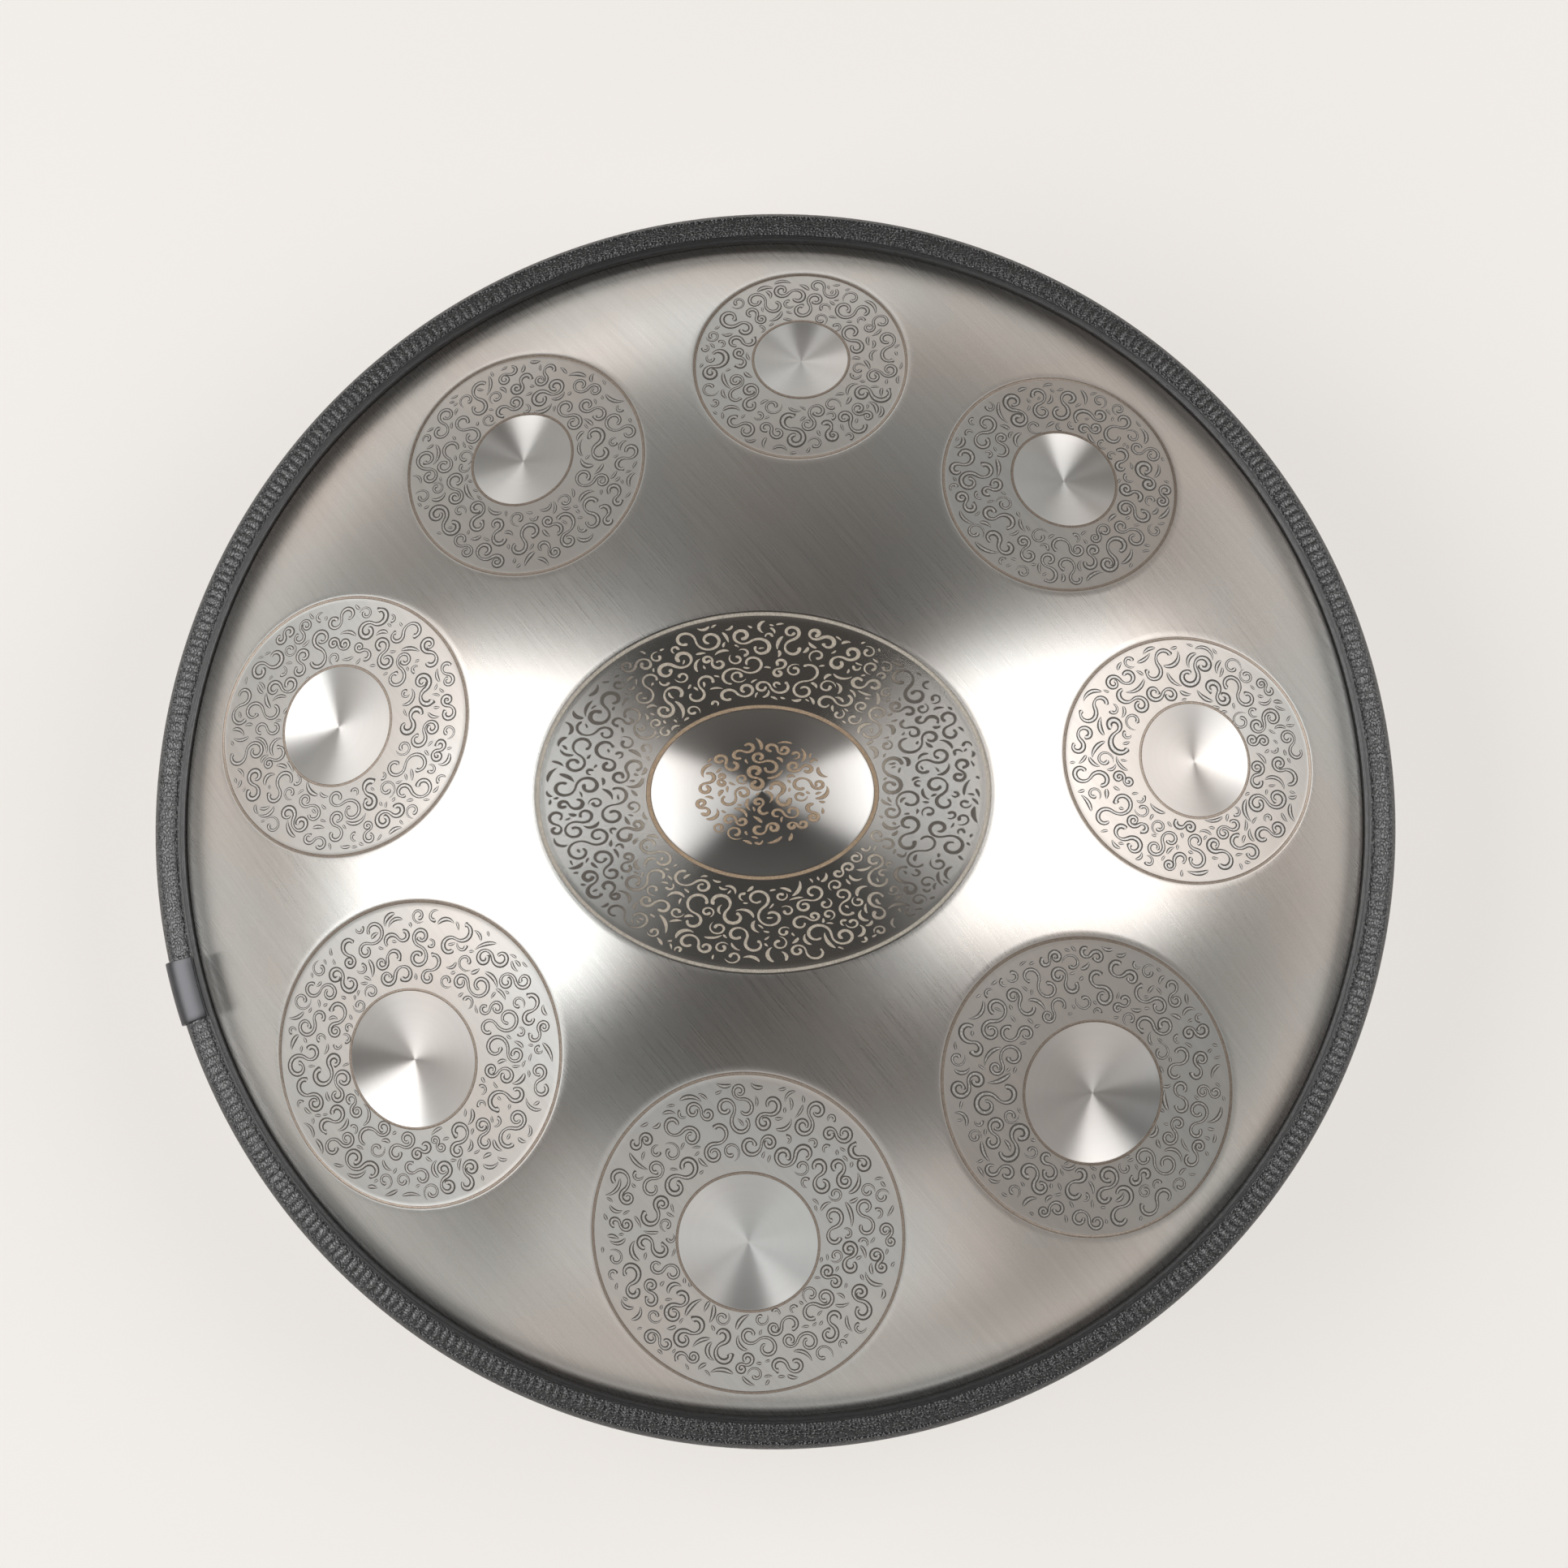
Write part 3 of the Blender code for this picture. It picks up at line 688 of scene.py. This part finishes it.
def build_clip():
    """Bent sheet sleeve with eased edges, swept along the trim."""
    middle = CLIP_GAP + CLIP_SHEET / 2
    half = CLIP_SHEET / 2
    rings = [(0.0, half - CLIP_EASE), (CLIP_EASE * 0.3, half - CLIP_EASE * 0.3), (CLIP_EASE, half)]
    length = CLIP_LENGTH / 2
    places = [(-length + along, thick) for along, thick in rings]
    places += [(along, half) for along in np.linspace(-length, length, 11)[1:-1]]
    places += [(length - along, thick) for along, thick in reversed(rings)]
    surface = Surface()
    rows = []
    for along, thick in places:
        section = np.array(clip_outline(middle + thick) + clip_outline(middle - thick)[::-1])
        turn = CLIP_AZIMUTH + along / (TRIM_RADIUS + CLIP_GAP)
        points = [(r * math.cos(turn), r * math.sin(turn), RIM_PLANE + z) for r, z in section]
        rows.append(surface.add_vertices(points))
    count = len(section)
    run = np.concatenate([[0], np.cumsum(np.hypot(*np.diff(np.vstack([section, section[:1]]), axis=0).T))])
    for first, following, here, after in zip(rows, rows[1:], places, places[1:]):
        for k in range(count):
            n = (k + 1) % count
            uv = [(run[k], here[0]), (run[k + 1], here[0]), (run[k + 1], after[0]), (run[k], after[0])]
            surface.add_face([first + k, first + n, following + n, following + k][::-1], uv[::-1], 0)
    for first, flip in ((rows[0], 1), (rows[-1], -1)):
        for k in range(count // 2 - 1):
            corners = [first + k, first + count - 1 - k, first + count - 2 - k, first + k + 1][::flip]
            surface.add_face(corners, [(0, 0), (0.001, 0), (0.001, 0.001), (0, 0.001)], 0)
    mesh = surface.build("joint_clip", [mottled_material(*CLIP_METAL)])
    mesh.set_sharp_from_angle(angle=math.radians(50))
    return mesh_piece("joint_clip", mesh, "root", "clip_metal", "trim_joint_clip")


# ---- engraving

class Engraving:
    """Etched strokes of one field, as thin ribbons with proud edges that never touch each other.

    Points are (across, along) in metres on a round field of the mean radius.
    """

    PROFILE = ((-1.0, 0.00002), (-0.66, 0.00010), (0.0, 0.00006), (0.66, 0.00010), (1.0, 0.00002))
    GAP = 0.00055
    NEAR = 0.022

    def __init__(self, field, low, high, seed):
        self.field = field
        self.mean = (field.length + field.width) / 2
        self.low = low
        self.high = high
        self.kind = 0
        self.rng = random.Random(seed)
        self.surface = Surface()
        self.taken = np.zeros((0, 2))
        self.taken_width = np.zeros(0)

    def is_free(self, points, widths):
        """Whether a stroke stays in the band and clear of every stroke taken so far."""
        radius = np.hypot(*points.T)
        if (radius - widths / 2).min() < self.low or (radius + widths / 2).max() > self.high:
            return False
        if not len(self.taken):
            return True
        near = np.abs(self.taken - points.mean(axis=0)).max(axis=1) < self.NEAR
        apart = np.hypot(*(points[:, None] - self.taken[None, near]).transpose(2, 0, 1))
        return bool((apart - widths[:, None] / 2 - self.taken_width[None, near] > self.GAP).all())

    def try_add(self, points, widths, material=0):
        widths = np.broadcast_to(widths, len(points)).astype(float)
        if not self.is_free(points[::2], widths[::2]):
            return False
        self.take(points[::2], widths[::2])
        self.add(points, widths, material)
        return True

    def take(self, points, widths):
        """Remember where a stroke lies."""
        self.taken = np.concatenate([self.taken, points])
        self.taken_width = np.concatenate([self.taken_width, widths / 2])

    def add(self, points, widths, material=0, closed=False):
        """Add a stroke's ribbon to the mesh."""
        if closed:
            direction = np.roll(points, -1, 0) - np.roll(points, 1, 0)
        else:
            direction = np.gradient(points, axis=0)
        direction = direction / (np.hypot(*direction.T)[:, None] + 1e-12)
        normal = np.stack([-direction[:, 1], direction[:, 0]], axis=-1)
        widths = np.broadcast_to(widths, len(points))
        looped = np.vstack([points, points[:1]])
        run = np.concatenate([[0], np.cumsum(np.hypot(*np.diff(looped, axis=0).T))])
        rows = []
        for offset, lift in self.PROFILE:
            local = points + normal * (offset * widths / 2)[:, None]
            x, y = self.field.to_plan(
                local[:, 1] * self.field.length / self.mean,
                -local[:, 0] * self.field.width / self.mean,
            )
            rows.append(surface_point(self.field, x, y, lift))
        count = len(self.PROFILE)
        first = self.surface.add_vertices(np.stack(rows, axis=1))
        total = len(points)
        for i in range(total if closed else total - 1):
            here = first + i * count
            after = first + (i + 1) % total * count
            for k in range(count - 1):
                low, high = k / (count - 1), (k + 1) / (count - 1)
                uv = [(run[i], low), (run[i + 1], low), (run[i + 1], high), (run[i], high)]
                self.surface.add_face([here + k, after + k, after + k + 1, here + k + 1], uv, material)


def polar(angle, radius):
    return np.array([radius * math.sin(angle), radius * math.cos(angle)])


def spiral(centre, radius, start, turns, inner_share, steps):
    """From the outside in: centre, outer radius, start angle, signed turns."""
    share = np.linspace(0, 1, steps)
    angle = start + 2 * np.pi * turns * share
    distance = radius * (1 - (1 - inner_share) * share**0.85)
    return centre + np.stack([distance * np.cos(angle), distance * np.sin(angle)], axis=-1)


def rounded(widths, share, start, end):
    """Close a stroke's widths to a round tip over a share of its length at each end."""
    widths = widths * np.sqrt(np.clip(share / start, 0.04, 1))
    return widths * np.sqrt(np.clip((1 - share) / end, 0.04, 1))


def s_scroll(rng, first, first_radius, second, second_radius, hand, stroke):
    """Two spirals that turn opposite ways and touch between their centres."""
    gap = second - first
    angle = math.atan2(gap[1], gap[0])
    turns = rng.uniform(0.7, 1.3), rng.uniform(0.55, 1.25)
    closeness = [0.24 + 0.4 * (1.3 - turn) for turn in turns]
    inward = spiral(first, first_radius, angle, hand * turns[0], closeness[0], 30)
    outward = spiral(second, second_radius, angle + math.pi, hand * turns[1], closeness[1], 34)
    points = np.concatenate([inward[::-1], outward[1:]])
    share = np.linspace(0, 1, len(points))
    swell = np.abs(np.sin(np.pi * (2 * share + rng.uniform(-0.2, 0.2))))
    widths = stroke * (0.55 + rng.uniform(0.25, 0.6) * swell)
    widths += stroke * rng.uniform(0, 0.5) * np.exp(-(((share - 0.03) / 0.04) ** 2))
    widths += stroke * rng.uniform(0, 0.6) * np.exp(-(((share - 0.97) / 0.035) ** 2))
    return points, rounded(widths, share, 0.03, 0.03)


def comma(centre, radius, start, turns, stroke):
    """A short curl that ends in a round head."""
    points = spiral(centre, radius, start, turns, 0.3, 20)
    share = np.linspace(0, 1, 20)
    widths = stroke * (0.35 + 0.65 * share**0.7 + 0.3 * np.exp(-(((share - 0.9) / 0.1) ** 2)))
    return points, rounded(widths, share, 0.1, 0.09)


def leaf(root, angle, length, bend, width):
    """A teardrop that grows from its root along an angle and bends sideways."""
    share = np.linspace(0, 1, 14)
    turned = angle + bend * (share - 0.3)
    steps = np.stack([np.cos(turned), np.sin(turned)], axis=-1) * length / 13
    points = root + np.cumsum(steps, axis=0)
    return points, width * np.sin(np.pi * np.clip(0.04 + 0.94 * share**0.8, 0, 1)) ** 0.75


def add_scrolls(work, tries, large, stroke):
    """S-scrolls of falling size, thrown at random into the band wherever they fit."""
    rng = work.rng
    for attempt in range(tries):
        size = large * (1 - 0.45 * attempt / tries)
        place = polar(rng.uniform(0, 2 * math.pi), rng.uniform(work.low, work.high))
        angle = rng.uniform(0, 2 * math.pi)
        first, second = size * rng.uniform(0.65, 1.0), size * rng.uniform(0.75, 1.15)
        other = place + (first + second) * np.array([math.cos(angle), math.sin(angle)])
        width = stroke * rng.uniform(0.8, 1.15)
        stroke_points = s_scroll(rng, place, first, other, second, rng.choice((-1, 1)), width)
        work.try_add(*stroke_points, material=work.kind)


def filler(rng, kind, place, stroke):
    """The points and widths of one small stroke at a place, turned at random."""
    angle = rng.uniform(0, 2 * math.pi)
    hand = rng.choice((-1, 1))
    if kind == "scroll":
        size, turns = stroke * rng.uniform(1.4, 2.1), hand * rng.uniform(0.9, 1.2)
        return comma(place, size, angle, turns, stroke * 0.75)
    if kind == "blade":
        length, width = stroke * rng.uniform(3.4, 5.6), stroke * rng.uniform(0.75, 1.1)
        return leaf(place, angle, length, hand * rng.uniform(0.8, 2.6), width)
    if kind == "comma":
        size, turns = stroke * rng.uniform(0.9, 1.5), hand * rng.uniform(0.5, 0.85)
        return comma(place, size, angle, turns, stroke * 0.85)
    if kind == "leaf":
        length, width = stroke * rng.uniform(1.9, 3.2), stroke * rng.uniform(0.65, 0.95)
        return leaf(place, angle, length, hand * rng.uniform(0.4, 2.0), width)
    length, width = stroke * rng.uniform(1.0, 1.8), stroke * rng.uniform(0.5, 0.7)
    return leaf(place, angle, length, hand * 0.6, width)


def add_fillers(work, tries, stroke):
    """Curls, blades, leaves and buds wherever there is still room for them."""
    rng = work.rng
    for kind, share in (("scroll", 0.12), ("blade", 0.3), ("comma", 0.2), ("leaf", 0.35), ("bud", 0.4)):
        for _ in range(int(tries * share)):
            place = polar(rng.uniform(0, 2 * math.pi), rng.uniform(work.low, work.high))
            work.try_add(*filler(rng, kind, place, stroke), material=work.kind)


def engraving_material(name, edge, fill, edge_share, metallic, roughness, painted_shade_fill=None):
    """Etched stroke: matt brown at its edges, with a grainy fill that may carry painted shade to its left
    and right.

    The two metallic values are for the edges and the fill.
    """
    material, tree, shader = new_material(name, fill, roughness, 1.0)
    uv = add_node(tree, "UVMap", uv_map="Brush").outputs["UV"]
    side = add_node(tree, "SeparateXYZ", {"Vector": uv}).outputs["Y"]
    place = add_node(tree, "TexCoord").outputs["Object"]
    grain = add_node(tree, "TexNoise", {"Vector": place, "Scale": 1500.0, "Detail": 3}).outputs["Fac"]

    def grainy(colour):
        deep = [channel * (1 - GRAIN_AMOUNT) for channel in colour]
        pale = [min(1.0, channel * (1 + GRAIN_AMOUNT)) for channel in colour]
        return add_ramp(tree, grain, [(0.35, deep), (0.65, pale)])

    def blend(factor, first, second):
        mixed = add_node(tree, "Mix", {0: factor}, data_type="RGBA")
        tree.links.new(first, mixed.inputs[6])
        tree.links.new(second, mixed.inputs[7])
        return mixed.outputs[2]

    inner = grainy(fill)
    if painted_shade_fill:
        # painted shade: beyond 42 to 60 mm left and right of the centre the fill turns to a darker colour
        painted_shade_mask = add_node(tree, "SeparateXYZ", {"Vector": place}).outputs["X"]
        painted_shade_mask = add_node(tree, "Math", {0: painted_shade_mask}, operation="ABSOLUTE").outputs[0]
        inner = blend(add_range(tree, painted_shade_mask, 0.042, 0.060, 0, 1), inner, grainy(painted_shade_fill))
    white, black = (1, 1, 1), (0, 0, 0)
    stops = [(0.0, white), (edge_share, white), (edge_share + 0.06, black)]
    stops += [(0.94 - edge_share, black), (1 - edge_share, white), (1.0, white)]
    outline = add_ramp(tree, side, stops)
    tree.links.new(blend(outline, inner, grainy(edge)), shader.inputs["Base Color"])
    tree.links.new(add_range(tree, outline, 0, 1, metallic[1], metallic[0]), shader.inputs["Metallic"])
    rough = add_range(tree, grain, 0.3, 0.7, roughness * 0.85, roughness * 1.15)
    tree.links.new(rough, shader.inputs["Roughness"])
    bump = add_node(tree, "Bump", {"Height": grain, "Strength": 0.25, "Distance": 0.0001})
    tree.links.new(bump.outputs["Normal"], shader.inputs["Normal"])
    return material


GRAIN_AMOUNT = 0.2
ETCH_FIELD = engraving_material(
    "etched_field", (0.075, 0.067, 0.058), (0.56, 0.535, 0.51), 0.32, (0.1, 1.0), 0.45
)
LINE_FIELD = engraving_material(
    "etched_line", (0.19, 0.155, 0.125), (0.33, 0.275, 0.23), 0.22, (0.3, 1.0), 0.42
)
# the centre's last colour is painted shade for the fill left and right of the centre
ETCH_CENTRE = engraving_material(
    "etched_centre", (0.075, 0.063, 0.052), (0.50, 0.44, 0.36), 0.12, (0.1, 0.3), 0.45, (0.12, 0.105, 0.09)
)
LINE_CENTRE = engraving_material(
    "etched_rim", (0.12, 0.09, 0.065), (0.40, 0.295, 0.20), 0.15, (0.2, 0.35), 0.45
)
BORDER_CENTRE = engraving_material(
    "etched_border", (0.33, 0.29, 0.24), (0.56, 0.51, 0.44), 0.2, (0.2, 0.5), 0.45
)
EDGE_MARGIN = 0.0007


def add_outlines(work, outer_width, inner_width):
    """A line just inside the field's edge, and one round its dimple or raised middle."""
    field = work.field
    steps = outline_steps(field)
    turns = 2 * np.pi * np.arange(steps) / steps
    outer = work.mean - EDGE_MARGIN - outer_width / 2
    border = 2 if field is CENTRE_NOTE else 1
    work.add(outer * np.stack([np.sin(turns), np.cos(turns)], axis=-1), outer_width, border, closed=True)
    length = field.middle_length * work.mean / field.length
    width = field.middle_width * work.mean / field.width
    shift = field.offset * work.mean / field.length
    inner = np.stack([width * np.sin(turns), shift + length * np.cos(turns)], axis=-1)
    inner *= 1 + inner_width / 2 / length
    work.add(inner, inner_width, 1, closed=True)


def engrave_tone_field(field, seed):
    """Scrolls and strokes between the dimple and the outline of one tone field."""
    mean = (field.length + field.width) / 2
    dimple = field.middle_length * mean / field.length
    work = Engraving(field, dimple + 0.0028, mean * 0.94, seed)
    add_scrolls(work, tries=900, large=0.0050, stroke=0.0024)
    add_fillers(work, tries=2600, stroke=0.0022)
    add_outlines(work, outer_width=0.0013, inner_width=0.0012)
    mesh = work.surface.build("etching_" + field.name, [ETCH_FIELD, LINE_FIELD])
    return mesh_piece("etching_" + field.name, mesh, "root", "top_steel")


def engrave_centre_note(seed):
    """An engraved ring round the raised crown, and a round patch on top of the crown."""
    field = CENTRE_NOTE
    mean = (field.length + field.width) / 2
    middle = (field.middle_length / field.length + field.middle_width / field.width) / 2 * mean
    work = Engraving(field, middle + 0.0034, mean * 0.95, seed)
    add_scrolls(work, tries=1200, large=0.0050, stroke=0.0015)
    add_fillers(work, tries=5000, stroke=0.0017)
    work.low, work.high, work.kind = 0.0, mean * 0.30, 1
    add_scrolls(work, tries=700, large=0.0034, stroke=0.0018)
    add_fillers(work, tries=2000, stroke=0.0018)
    add_outlines(work, outer_width=0.0016, inner_width=0.0019)
    mesh = work.surface.build("etching_centre_note", [ETCH_CENTRE, LINE_CENTRE, BORDER_CENTRE])
    return mesh_piece("etching_centre_note", mesh, "root", "top_steel")


# ---- remaining pieces

def mottled_material(name, colour, roughness, metallic, noise, tones, bump, uneven=0.0):
    """Plain material with a fine mottle in its tone, its bump and, if uneven, its roughness.

    noise is a scale and a detail, tones the darkest and palest factors, bump a strength and
    a depth.
    """
    material, tree, shader = new_material(name, colour, roughness, metallic)
    place = add_node(tree, "TexCoord").outputs["Object"]
    mottle = {"Vector": place, "Scale": noise[0], "Detail": noise[1]}
    mottle = add_node(tree, "TexNoise", mottle).outputs["Fac"]
    if uneven:
        rough = add_range(tree, mottle, 0.3, 0.7, roughness * (1 - uneven), roughness * (1 + uneven))
        tree.links.new(rough, shader.inputs["Roughness"])
    dark, pale = ([channel * tone for channel in colour] for tone in tones)
    tree.links.new(add_ramp(tree, mottle, [(0.3, dark), (0.7, pale)]), shader.inputs["Base Color"])
    relief = add_node(tree, "Bump", {"Height": mottle, "Strength": bump[0], "Distance": bump[1]})
    tree.links.new(relief.outputs["Normal"], shader.inputs["Normal"])
    return material


def dress_node(node, material):
    """Give a carried-over CAD node a better material."""
    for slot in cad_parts[node].material_slots:
        slot.material = material


# ---- stage, light and camera

FLOOR_REACH = 8.0
FLOOR_DROP = 0.0002
FLOOR_GLOW = 0.55
# Name, azimuth, tilt from straight above, distance, size across and up, and radiance.
SOFT_BOXES = (
    ("right_box", 8, 45, 2.2, (1.7, 1.7), 2.9),
    ("left_box", 181, 47, 2.2, (2.0, 1.7), 3.3),
    ("back_box", 103, 88, 1.6, (1.3, 0.36), 0.85),
    ("front_box", 268, 68, 2.6, (3.0, 1.3), 0.6),
)
# Brightness of the room from the horizon, 0, to straight above, 1.
ROOM_GREYS = ((0.0, 0.50), (0.26, 0.33), (0.5, 0.24), (0.75, 0.12), (0.9, 0.055), (1.0, 0.03))
CAMERA_PLACE = (0.0425, -0.1160, RIM_PLANE + 1.2)
CAMERA_AIM = (-0.0306, 0.1089, -1)
CAMERA_LENS = 61.32


def build_stage():
    """A plain pale floor that glows a little, so that the shadow on it stays faint."""
    mesh = bpy.data.meshes.new("floor")
    corners = [(FLOOR_REACH * x, FLOOR_REACH * y, 0) for x, y in ((-1, -1), (1, -1), (1, 1), (-1, 1))]
    mesh.from_pydata(corners, [], [(0, 1, 2, 3)])
    floor = bpy.data.objects.new("floor", mesh)
    bpy.context.scene.collection.objects.link(floor)
    material, _, shader = new_material("floor", (0.36, 0.35, 0.34), 0.9, 0.0)
    shader.inputs["Specular IOR Level"].default_value = 0.0
    shader.inputs["Emission Color"].default_value = (1.0, 0.957, 0.912, 1)
    shader.inputs["Emission Strength"].default_value = FLOOR_GLOW
    mesh.materials.append(material)
    floor.location.z = -FLOOR_DROP


def direction(azimuth, tilt, distance):
    """A point at a distance from the instrument, tilt degrees away from straight above it."""
    azimuth, tilt = math.radians(azimuth), math.radians(tilt)
    flat = distance * math.sin(tilt)
    return flat * math.cos(azimuth), flat * math.sin(azimuth), RIM_PLANE + distance * math.cos(tilt)


def facing(back, up):
    """The rotation that points local +Z along back, with local +Y towards up."""
    right = Vector(up).cross(back).normalized()
    return Matrix((right, back.cross(right), back)).transposed().to_euler()


def add_light(name, azimuth, tilt, distance, size, radiance):
    """A rectangular soft box that faces the instrument; size is across, then up."""
    light = bpy.data.lights.new(name, "AREA")
    light.shape = "RECTANGLE"
    light.size, light.size_y = size
    light.energy = radiance * math.pi * size[0] * size[1]
    lamp = bpy.data.objects.new(name, light)
    location = Vector(direction(azimuth, tilt, distance))
    back = (location - Vector((0, 0, RIM_PLANE))).normalized()
    lamp.location = location
    lamp.rotation_euler = facing(back, (0, 0, 1))
    bpy.context.scene.collection.objects.link(lamp)


def build_light():
    """Soft boxes on both sides, low ones behind and in front, and a room with a dim ceiling."""
    world = bpy.data.worlds.new("studio")
    bpy.context.scene.world = world
    world.use_nodes = True
    tree = world.node_tree
    place = add_node(tree, "TexCoord").outputs["Generated"]
    height = add_node(tree, "SeparateXYZ", {"Vector": place}).outputs["Z"]
    warm = [(stop, (value, value * 0.97, value * 0.93)) for stop, value in ROOM_GREYS]
    ramp = add_ramp(tree, height, warm)
    background = tree.nodes["Background"]
    tree.links.new(ramp, background.inputs["Color"])
    background.inputs["Strength"].default_value = 1.0
    for box in SOFT_BOXES:
        add_light(*box)
    bpy.context.scene.view_settings.view_transform = "Standard"


def build_camera():
    """Looks down on the upper shell from a little towards the player's side."""
    camera = bpy.data.cameras.new("camera")
    camera.sensor_width = 36.0
    camera.lens = CAMERA_LENS
    camera.clip_end = 50
    view = bpy.data.objects.new("camera", camera)
    view.location = CAMERA_PLACE
    view.rotation_euler = facing(-Vector(CAMERA_AIM).normalized(), (0, 1, 0))
    bpy.context.scene.collection.objects.link(view)
    bpy.context.scene.camera = view


build_camera()
build_stage()
build_light()
build_upper_shell()
build_lower_shell()
build_trim()
build_clip()
for number, tone_field in enumerate(TONE_FIELDS, 1):
    engrave_tone_field(tone_field, 40 + number)
engrave_centre_note(7)
CARRIER = ("carrier_steel", (0.5, 0.5, 0.5), 0.4, 1.0, (260, 5), (0.8, 1.15), (0.08, 0.0002), 0.3)
GRIP = ("grip_rubber", (0.02, 0.02, 0.02), 0.7, 0.0, (400, 4), (0.7, 1.4), (0.2, 0.0003))
ADHESIVE = ("adhesive", (0.1, 0.1, 0.11), 0.55, 0.0, (400, 4), (0.7, 1.4), (0.2, 0.0003))
dress_node("edge_trim_carrier", mottled_material(*CARRIER))
dress_node("edge_trim_grip", mottled_material(*GRIP))
dress_node("rim_adhesive", mottled_material(*ADHESIVE))
